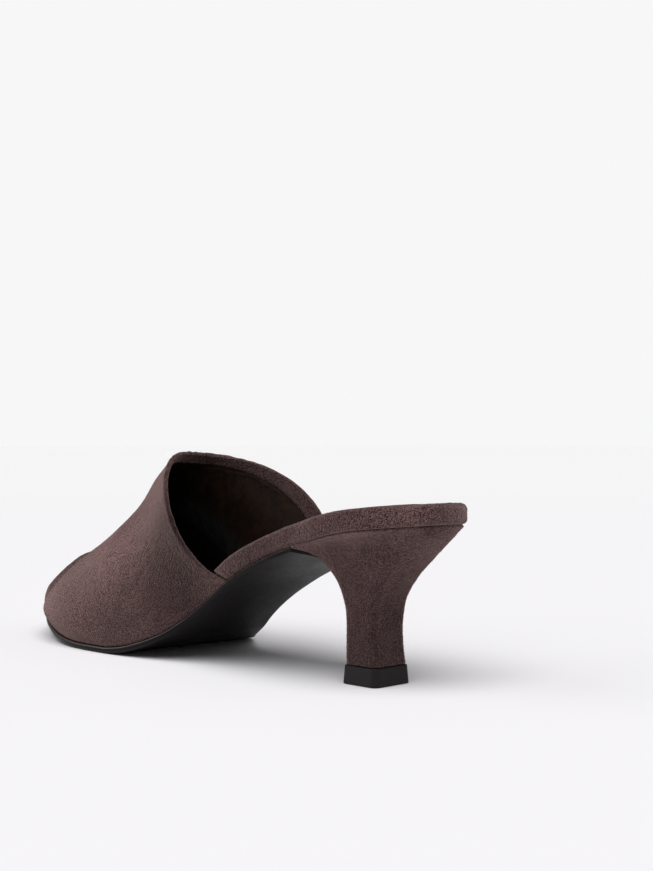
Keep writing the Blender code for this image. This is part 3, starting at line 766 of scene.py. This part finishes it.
heel = {
    "lipBack": 0.0470,
    "overhang": 0.0245,
    "footLength": 0.0148,
    "footWidth": 0.0163,
    "corner": 0.0026,
    "turn": 3.0,
    "inset": 0.0012,
    "breastShare": 0.3,
    "tipHeight": 0.0062,
    "tipFlare": 0.0008,
    "tipCorner": 0.75,  # the tip's corner radius as a share of the foot's
    "tipEdge": 0.00028,
    "levels": 150,
    "sidePoints": 100,
    "pile": 0.00003,
    "pileSeed": 31,
    "quiet": (0.02, 0.05),  # shares of height and way round that stay even beside the edges
    "rollRun": (0.15, 0.5),
    "rollRise": 0.7,  # the turned-in edge's height as a share of its depth
    "seamClose": 0.00005,
    "seamRoll": (0.0011, 0.0004),  # how far the top edge turns in, at the back and towards the front
}
# soft folds of the heel's cover: height, place round each side, their spreads, depth (shares and metres)
heelDents = np.array([
    (0.60, 0.30, 0.020, 0.16, 0.00012),
    (0.74, 0.42, 0.10, 0.12, 0.00025),
    (0.52, 0.62, 0.12, 0.10, 0.00020),
])
# painted light and shade on the heel's cover: lighter up under the seat, darker low near the floor
heelLightAndShade = [
    (-0.0210, -0.1060, 0.0450, 0.014, 0.28),
    (-0.0060, -0.0880, 0.0110, 0.018, -0.42),
]
flareRows = np.array([  # height, then how far back, breast and sides have opened
    (0.00, 0.000, 0.000, 0.000),
    (0.12, -0.051, -0.003, 0.000),
    (0.24, -0.073, -0.020, 0.000),
    (0.34, -0.052, -0.043, 0.005),
    (0.45, 0.002, -0.059, 0.030),
    (0.54, 0.107, -0.050, 0.090),
    (0.65, 0.299, -0.005, 0.190),
    (0.76, 0.545, 0.082, 0.335),
    (0.88, 0.820, 0.232, 0.535),
    (0.955, 0.965, 0.535, 0.730),
    (1.00, 1.000, 1.000, 1.000),
])


# One side of a rounded rectangle, from the middle of its back edge to its front corner.
def roundedHalf(length, width, radius, shares):
    quarter = radius * math.pi / 2
    ends = np.cumsum([0, width / 2 - radius, quarter, length - 2 * radius, quarter])
    s = np.asarray(shares, float) * ends[-1]
    backTurn = np.clip((s - ends[1]) / radius, 0, math.pi / 2)
    frontTurn = np.clip((s - ends[3]) / radius, 0, math.pi / 2)
    x = np.minimum(s, ends[1]) + radius * np.sin(backTurn) - radius * (1 - np.cos(frontTurn))
    y = radius * (1 - np.cos(backTurn)) + radius * np.sin(frontTurn)
    y = y + np.clip(s - ends[2], 0, ends[3] - ends[2])
    return np.stack([x, y], -1)


def turned(points):
    angle = math.radians(heel["turn"])
    spin = np.array([[math.cos(angle), math.sin(angle)], [-math.sin(angle), math.cos(angle)]])
    return points @ spin + np.array([0, heel["overhang"] + heel["footLength"] / 2])


def heelPlaces(count):  # where the heel's points lie on the outline
    front = (placeAt(-1, heel["lipBack"]) + placeAt(1, heel["lipBack"])) / 2
    return evenPlaces(0, front, count)


# Heel: straight lines from a small rounded foot up to the seat's outline, bent by the flare table.
def heelSides(levels, count):
    shares = np.linspace(0, 1, count)
    forward = ease(shares, heel["breastShare"], 1)[None, :]
    back, breast, wide = (smoothCurve(levels, flareRows[:, 0], flareRows[:, k])[:, None] for k in (1, 2, 3))
    grids = {}
    for side in (-1, 1):
        half = roundedHalf(heel["footLength"], heel["footWidth"], heel["corner"], shares)
        foot = turned(np.stack([side * half[:, 0], half[:, 1] - heel["footLength"] / 2], -1))
        seatEdge = rail(side, heelPlaces(count), heel["inset"])
        seatHeight = soleTop(seatEdge[:, 1]) - last["fitGap"]
        footHeight = heel["tipHeight"] + last["fitGap"]
        x = foot[:, 0] + (seatEdge[:, 0] - foot[:, 0]) * wide
        y = foot[:, 1] + (seatEdge[:, 1] - foot[:, 1]) * (back + (breast - back) * forward)
        z = footHeight + (seatHeight - footHeight) * levels[:, None]
        grids[side] = np.stack([x, y, z], -1)
    return grids


def sideNormals(grid, side):  # outward normals of one side of the heel
    return unit(np.cross(np.gradient(grid, axis=1), np.gradient(grid, axis=0))) * -side


def closedStack(outer, inner):  # rings of both sides, with flat strips across the two ends
    rings = np.concatenate([outer, inner[:, :0:-1]], 1)
    count = outer.shape[1]
    rows, around = rings.shape[:2]
    faces = [gridFaces(rows, around, closeColumns=True)]
    left = np.arange(count)
    right = np.concatenate([[0], np.arange(around - 1, count - 1, -1)])
    for start, turn in ((0, -1), ((rows - 1) * around, 1)):
        quad = np.stack([left[:-1], left[1:], right[1:], right[:-1]], -1) + start
        faces.append(quad[:, ::turn])
    return rings, np.concatenate(faces)


# Cover: the heel's sides with soft folds, each a hollow of exp(-(dh / tall)^2 - (ds / wide)^2). Their top
# edge rolls in under the footbed in a quarter turn, so that the seam reads as a crease.
def buildHeelCover():
    u = np.linspace(0, 1, heel["levels"])
    levels = 0.5 * u + 0.5 * np.sin(u * math.pi / 2)
    sides = heelSides(levels, heel["sidePoints"])
    rng = np.random.default_rng(heel["pileSeed"])
    rise = levels[:, None]
    around = np.linspace(0, 1, heel["sidePoints"])[None, :]
    even = ease(np.minimum(rise, 1 - rise), 0, heel["quiet"][0])
    even = even * ease(np.minimum(around, 1 - around), 0, heel["quiet"][1])
    backRoll, frontRoll = heel["seamRoll"]
    roll = (backRoll + (frontRoll - backRoll) * ease(around[0], *heel["rollRun"]))[:, None]
    turns = np.linspace(0, math.pi / 2, 5)[1:, None, None]
    for side in (-1, 1):
        grid = sides[side]
        uneven = heel["pile"] * smoothNoise(rng, grid.shape[:2], 1)
        for height, place, tall, wide, depth in heelDents:
            away = ((rise - height) / tall) ** 2 + ((around - place) / wide) ** 2
            uneven = uneven - depth * np.exp(-away)
        grid = grid + sideNormals(grid, side) * (uneven * even)[..., None]
        inwards = inwardOf(side, heelPlaces(heel["sidePoints"]))
        grid[..., 2] -= heel["rollRise"] * roll[:, 0] * ease(levels, 0.5, 1)[:, None]
        rolled = np.repeat(grid[-1:], 4, 0)
        rolled[..., :2] += inwards * roll * (1 - np.cos(turns))
        rolled[..., 2:] += (heel["rollRise"] * roll + last["fitGap"] + heel["seamClose"]) * np.sin(turns)
        sides[side] = np.concatenate([grid, rolled])
    mesh = meshFrom("heelCover", *closedStack(sides[-1], sides[1]))
    paintLightAndShade(closeSeams(mesh), heelLightAndShade)
    addPiece("heelCover", mesh, [heelSuede], ["heel"])
    print("heel cover made")
    return {side: sides[side][:-3] for side in (-1, 1)}


# Tip: a stack of rounded rectangles that flares a little downwards, with softened edges.
def buildHeelTip():
    shares = np.linspace(0, 1, heel["sidePoints"])
    flare, high, soft = heel["tipFlare"], heel["tipHeight"], heel["tipEdge"]
    steps = [(flare - soft, 0.0), (flare - 0.3 * soft, 0.3 * soft), (flare, soft)]
    steps += [(flare + (soft - flare) * s, soft + (high - 2 * soft) * s) for s in np.linspace(0, 1, 9)[1:]]
    steps += [(0.7 * soft, high - 0.3 * soft), (0.0, high)]
    stacks = {-1: [], 1: []}
    for grow, height in steps:
        length = heel["footLength"] + 2 * grow
        corner = heel["corner"] * heel["tipCorner"] + grow
        half = roundedHalf(length, heel["footWidth"] + 2 * grow, corner, shares)
        for side in (-1, 1):
            ring = turned(np.stack([side * half[:, 0], half[:, 1] - length / 2], -1))
            stacks[side].append(np.column_stack([ring, np.full(len(ring), height)]))
    mesh = meshFrom("heelTip", *closedStack(np.array(stacks[-1]), np.array(stacks[1])))
    addPiece("heelTip", closeSeams(mesh), [heelTip], ["top_piece"])
    print("heel tip made")


heelSkin = buildHeelCover()
buildHeelTip()


# Outsole

outsole = {
    "edgeRadius": 0.0007,
    "crown": 0.0010,
    "crownFrom": 0.58,
    "crownFull": 0.40,
    "flapThickness": 0.0012,
    "flapInset": 0.0016,
    "flapTaper": 0.5,
    "bevel": 0.0010,
    "tuck": 0.0100,  # length over which the edge draws in towards the breast
    "stations": 320,
    "flapStations": 70,
    "columns": 34,
}
edgeProfile = [  # the sole's edge from top to bottom: how far in as a share of the bevel, how far down
    (0.62, 0.02),
    (0.22, 0.07),
    (0.02, 0.20),
    (0.00, 0.38),
    (0.12, 0.62),
    (0.36, 0.84),
    (0.66, 0.96),
]


# Outsole: a strip between the two edges with a bevelled lip, crowned under the shank, that draws in and
# turns down the breast of the heel.
def buildOutsole():
    front = heel["lipBack"] + 2 * last["fitGap"]
    start = (placeAt(-1, front) + placeAt(1, front)) / 2
    stations = evenPlaces(start, len(outline) - 1, outsole["stations"])[::-1]
    shares = np.linspace(0, 1, outsole["columns"])
    radius = outsole["edgeRadius"]
    turns = np.linspace(0, math.pi, 9)[1:-1]
    tuck = heel["inset"] * (1 - ease(rail(-1, stations)[:, 1], front, front + outsole["tuck"]))
    bevel = outsole["bevel"]
    outer, inner = (rail(side, stations, tuck + bevel) for side in (-1, 1))
    across = outer[:, None] + (inner - outer)[:, None] * shares[None, :, None]
    top = soleTop(across[..., 1]) - last["fitGap"]
    crownFrom, crownFull = (outsole[name] * last["length"] for name in ("crownFrom", "crownFull"))
    crown = outsole["crown"] * ease(across[..., 1], crownFrom, crownFull)
    low = soleUnder(across[..., 1]) + crown * (1 - 4 * shares * (1 - shares))
    edgeArcs = {}
    for side, end in ((-1, 0), (1, -1)):
        rows = edgeProfile[::-1] if side < 0 else edgeProfile
        arc = []
        for inward, share in rows:
            p = rail(side, stations, tuck + bevel * inward)
            arc.append(np.column_stack([p, top[:, end] + (low[:, end] - top[:, end]) * share]))
        edgeArcs[side] = np.stack(arc, 1)
    main = np.concatenate([
        edgeArcs[-1],
        np.concatenate([across, top[..., None]], -1),
        edgeArcs[1],
        np.concatenate([across, low[..., None]], -1)[:, ::-1],
    ], 1)
    u = np.linspace(0, 1, outsole["flapStations"])
    sides = heelSides(np.sin(u * math.pi / 2), 18)
    outerLine, innerLine = sides[-1][::-1, -1], sides[1][::-1, -1]
    run = np.gradient(outerLine, axis=0) + np.gradient(innerLine, axis=0)
    normal = unit(np.stack([0 * run[:, 0], -run[:, 2], run[:, 1]], -1))[:, None]
    over = unit(innerLine - outerLine)[:, None]
    inset = (outsole["flapInset"] * ease(u, 0, outsole["flapTaper"] / 2) + radius)[:, None, None]
    tapered = ease(u, 0, outsole["flapTaper"])
    thick = last["soleThickness"] + (outsole["flapThickness"] - last["soleThickness"]) * tapered
    crowned = outsole["crown"] * (1 - tapered)[:, None] * (1 - 4 * shares * (1 - shares))
    thick = (thick[:, None] - crowned)[..., None]
    outerLine, innerLine = outerLine[:, None], innerLine[:, None]
    flat = outerLine + over * inset + (innerLine - outerLine - 2 * over * inset) * shares[None, :, None]
    flapTop = flat + normal * last["fitGap"]
    flapLow = flat + normal * (last["fitGap"] + thick)
    arcs = {}
    for side, end, out in ((-1, 0, -over), (1, -1, over)):
        a, b = flapTop[:, end][:, None], flapLow[:, end][:, None]
        order = turns[::-1] if side > 0 else turns
        arc = [(a + b) / 2 - (a - b) / 2 * math.cos(q) + out * radius * math.sin(q) ** 0.7 for q in order]
        arcs[side] = np.concatenate(arc, 1)
    flap = np.concatenate([arcs[-1], flapTop, arcs[1], flapLow[:, ::-1]], 1)
    rings = np.concatenate([main, flap])
    rows, around = rings.shape[:2]
    n, m = len(turns), outsole["columns"]
    topLine = np.concatenate([np.arange(n // 2, n + m), np.arange(n + m, n + m + n // 2 + 1)])
    lowLine = np.concatenate([np.arange(n // 2, -1, -1), np.arange(around - 1, n + m + n // 2 - 1, -1)])
    count = min(len(topLine), len(lowLine))
    topLine, lowLine = topLine[:count], lowLine[:count]
    end = np.stack([topLine[:-1], topLine[1:], lowLine[1:], lowLine[:-1]], -1) + (rows - 1) * around
    faces = np.concatenate([gridFaces(rows, around, closeColumns=True), end])
    # painted highlight: the upper bevel of both edges gets a lighter, glossier material for the light it
    # catches
    edge = len(edgeProfile)
    ring, place = faces[:, 0] // around, faces[:, 0] % around
    outerBevel = (place >= edge - 3) & (place < edge)
    innerBevel = (place >= edge + m - 1) & (place < edge + m + 2)
    highlightBevel = (ring < len(main) - 1) & (outerBevel | innerBevel)
    mesh = meshFrom("soleUnit", rings, faces, highlightBevel)
    addPiece("soleUnit", closeSeams(mesh), [soleRubber, soleBevel], ["outsole"])
    print("outsole made")


buildOutsole()


# Stitches along the turned-in edge, as short threads let into the suede

stitches = {"pitch": 0.0026, "length": 0.0020, "radius": 0.00017, "sink": 0.00020, "sides": 6, "rings": 7}


# Thread: short round bars along the groove, each a circle carried along the seam with tapered ends.
def buildStitches():
    inner = vampOutside - vampNormals * (vamp["wall"] - vamp["seamDepth"] + stitches["sink"])
    sides, rings = stitches["sides"], stitches["rings"]
    points, faces, count = [], [], 0
    for distance, way in ((fromBack, 1), (fromToe, -1)):
        walked, grid, normals = distance[::way], inner[::way], vampNormals[::way]

        def alongSeam(field):
            columns = range(6, field.shape[1] - 6)
            return np.array([
                [np.interp(vamp["seam"], walked[:, c], field[:, c, k]) for k in range(3)] for c in columns
            ])

        line, out = alongSeam(grid), alongSeam(normals)
        travelled = np.concatenate([[0], np.cumsum(np.linalg.norm(np.diff(line, axis=0), axis=1))])
        starts = np.arange(stitches["pitch"], travelled[-1] - stitches["pitch"], stitches["pitch"])
        where = starts[:, None] + np.linspace(0, 1, rings)[None, :] * stitches["length"]
        path = np.stack([np.interp(where, travelled, line[:, k]) for k in range(3)], -1)
        up = unit(np.stack([np.interp(where, travelled, out[:, k]) for k in range(3)], -1))
        beside = unit(np.cross(unit(np.gradient(path, axis=1)), up))
        girth = stitches["radius"] * np.sqrt(1 - np.linspace(-0.98, 0.98, rings) ** 4)
        angle = np.linspace(0, 2 * math.pi, sides + 1)[:-1][None, None, :, None]
        ring = np.cos(angle) * beside[:, :, None] + np.sin(angle) * up[:, :, None]
        bars = path[:, :, None] + ring * girth[None, :, None, None]
        end = (rings - 1) * sides
        caps = [[3, 2, 1, 0], [5, 4, 3, 0]]
        caps += [[end, end + 1, end + 2, end + 3], [end, end + 3, end + 4, end + 5]]
        one = np.concatenate([gridFaces(rings, sides, closeColumns=True), caps])
        first = count + np.arange(len(starts))[:, None, None] * rings * sides
        points.append(bars.reshape(-1, 3))
        faces.append((one[None] + first).reshape(-1, 4))
        count += bars.size // 3
    mesh = meshFrom("facingStitches", np.concatenate(points), np.concatenate(faces))
    addPiece("facingStitches", closeSeams(mesh), [thread])
    print("stitches made")


buildStitches()


# Nap: short fibres that stand out of the suede and soften its edges

nap = {
    "length": (0.00022, 0.00046),
    "halfWidth": 0.000062,
    "mottle": 0.55,  # how far single fibres differ in lightness
    "sunk": 0.00010,
    "stand": 0.90,
    "lay": 0.25,
    "scatter": 0.55,
    "vamp": 34000,
    "band": 15000,
    "heel": 14000,
}


# Fibres: slender closed spikes. Their feet are spread evenly over the surface by the area of its cells,
# and each leans from the normal along the nap with some scatter.
def addNap(name, grids, count, lay, seed, spots):
    rng = np.random.default_rng(seed)
    feet, normals = [], []
    areas = []
    for grid, _ in grids:
        d = np.cross(grid[1:, 1:] - grid[:-1, :-1], grid[1:, :-1] - grid[:-1, 1:])
        areas.append(np.linalg.norm(d, axis=-1) / 2)
    total = sum(a.sum() for a in areas)
    for (grid, out), area in zip(grids, areas):
        number = int(round(count * area.sum() / total))
        picked = np.searchsorted(np.cumsum(area.ravel()), rng.random(number) * area.sum())
        r, c = np.unravel_index(np.minimum(picked, area.size - 1), area.shape)
        a, b = rng.random((2, number, 1))

        def between(field):
            left = field[r, c] * (1 - a) + field[r + 1, c] * a
            right = field[r, c + 1] * (1 - a) + field[r + 1, c + 1] * a
            return left * (1 - b) + right * b

        feet.append(between(grid))
        normals.append(unit(between(out)))
    feet, normals = np.concatenate(feet), np.concatenate(normals)
    number = len(feet)
    scatter = nap["scatter"] * rng.normal(size=(number, 3))
    leaning = unit(nap["stand"] * normals + nap["lay"] * np.array(lay) + scatter)
    long = rng.uniform(*nap["length"], size=(number, 1))
    side = unit(np.cross(leaning, rng.normal(size=(number, 3))))
    other = np.cross(leaning, side)
    base = feet - normals * nap["sunk"]
    width = nap["halfWidth"] * rng.uniform(0.7, 1.2, size=(number, 1))
    thirds = (0, 2 * math.pi / 3, 4 * math.pi / 3)
    corners = [base + width * (side * math.cos(q) + other * math.sin(q)) for q in thirds]
    points = np.stack(corners + [base + leaning * long], 1)
    spike = np.array([[0, 2, 1], [0, 1, 3], [1, 2, 3], [2, 0, 3]])
    faces = (spike[None] + 4 * np.arange(number)[:, None, None]).reshape(-1, 3)
    mesh = meshFrom(name, points, faces)
    paintLightAndShade(mesh, spots)
    paintTone(mesh, "fibreTone", np.repeat(rng.normal(0, nap["mottle"], number), 4))
    addPiece(name, mesh, [napFibre])


def buildNap():
    addNap("vampNap", [(vampOutside, vampNormals)], nap["vamp"], (0.0, 0.5, -0.5), 3, vampLightAndShade)
    bands = []
    for side in (-1, 1):
        grid = footbedEdges[side][:, 2:]
        bands.append((grid, gridNormals(grid) * (1 if side > 0 else -1)))
    addNap("bandNap", bands, nap["band"], (0.0, 0.0, 0.2), 4, bandLightAndShade)
    heels = [(heelSkin[side], sideNormals(heelSkin[side], side)) for side in (-1, 1)]
    addNap("heelNap", heels, nap["heel"], (0.0, 0.1, -0.7), 6, heelLightAndShade)
    print("nap made")


buildNap()


# Floor, light and camera

studio = {
    "paperNear": (0.925, 0.912, 0.935),
    "paperFar": (0.935, 0.935, 0.935),
    "paperDrop": 0.0001,  # the paper lies this far under the sole, so that the two never flicker
    "skyTone": (0.93, 0.93, 0.93),
    "ambient": 0.16,
    "floorReach": 60,
    "paleRun": (0.3, 2.5),  # distances over which the paper pales
}
photoCamera = {
    "place": (-0.327536, -0.42830, 0.080),
    "turn": (90.389, 0, -41.5),  # degrees
    "focus": 1400,  # focal length and height of the picture in its own pixels
    "pictureHeight": 871,
    "sensor": 36,
}
studioLights = [  # name, where it shines from, strength, softness in degrees
    ("softKey", (-0.34, -0.34, 0.88), 2.62, 60),
    ("toeSide", (-0.70, 0.54, 0.44), 0.74, 62),
    ("heelSide", (0.50, -0.70, 0.52), 0.18, 60),
]


# Floor: one wide level sheet of paper, which pales with its distance from the shoe.
def buildFloor():
    x = np.linspace(-studio["floorReach"], studio["floorReach"], 3)
    grid = np.stack(np.meshgrid(x, x, indexing="ij") + [np.full((3, 3), -studio["paperDrop"])], -1)
    grid = grid + np.array([last["middle"], last["length"] / 2, 0])
    mesh = meshFrom("paperFloor", grid, gridFaces(3, 3))
    floor = bpy.data.objects.new("paperFloor", mesh)
    bpy.context.scene.collection.objects.link(floor)
    made, tree, shader = newMaterial("paper", 0.9, 0.1)
    coords = addNode(tree, "ShaderNodeTexCoord").outputs["Object"]
    distance = addNode(tree, "ShaderNodeVectorMath", operation="LENGTH")
    tree.links.new(coords, distance.inputs[0])
    far = addNode(tree, "ShaderNodeMapRange", interpolation_type="SMOOTHSTEP")
    far.inputs["From Min"].default_value, far.inputs["From Max"].default_value = studio["paleRun"]
    tree.links.new(distance.outputs["Value"], far.inputs["Value"])
    colour = mixColour(tree, far.outputs["Result"], studio["paperNear"], studio["paperFar"])
    tree.links.new(colour, shader.inputs["Base Color"])
    mesh.materials.append(made)


# Light: a wide soft key overhead, a low one from the toe's side and a weak one behind the heel. The
# even light of the room is dimmer than the room looks.
def buildLights():
    world = bpy.data.worlds.new("softRoom")
    bpy.context.scene.world = world
    world.use_nodes = True
    tree = world.node_tree
    background = tree.nodes["Background"]
    background.inputs["Color"].default_value = (*studio["skyTone"], 1)
    ray = addNode(tree, "ShaderNodeLightPath")
    seen = mathOf(tree, "MULTIPLY", ray.outputs["Is Camera Ray"], 1 - studio["ambient"])
    tree.links.new(mathOf(tree, "ADD", seen, studio["ambient"]), background.inputs["Strength"])
    for name, source, strength, softness in studioLights:
        sun = bpy.data.lights.new(name, "SUN")
        sun.energy = strength
        sun.angle = math.radians(softness)
        lamp = bpy.data.objects.new(name, sun)
        lamp.rotation_euler = Vector(source).to_track_quat("Z", "Y").to_euler()
        bpy.context.scene.collection.objects.link(lamp)


def buildCamera():
    camera = bpy.data.cameras.new("photoCamera")
    camera.sensor_fit = "VERTICAL"
    camera.sensor_height = photoCamera["sensor"]
    camera.lens = photoCamera["focus"] / photoCamera["pictureHeight"] * photoCamera["sensor"]
    camera.clip_start = 0.01
    rig = bpy.data.objects.new("photoCamera", camera)
    rig.location = photoCamera["place"]
    rig.rotation_euler = [math.radians(angle) for angle in photoCamera["turn"]]
    bpy.context.scene.collection.objects.link(rig)
    bpy.context.scene.camera = rig


buildFloor()
buildLights()
buildCamera()
bpy.context.scene.view_settings.view_transform = "Standard"
bpy.context.scene.view_settings.look = "None"

bpy.context.view_layer.update()
print("scene ready")
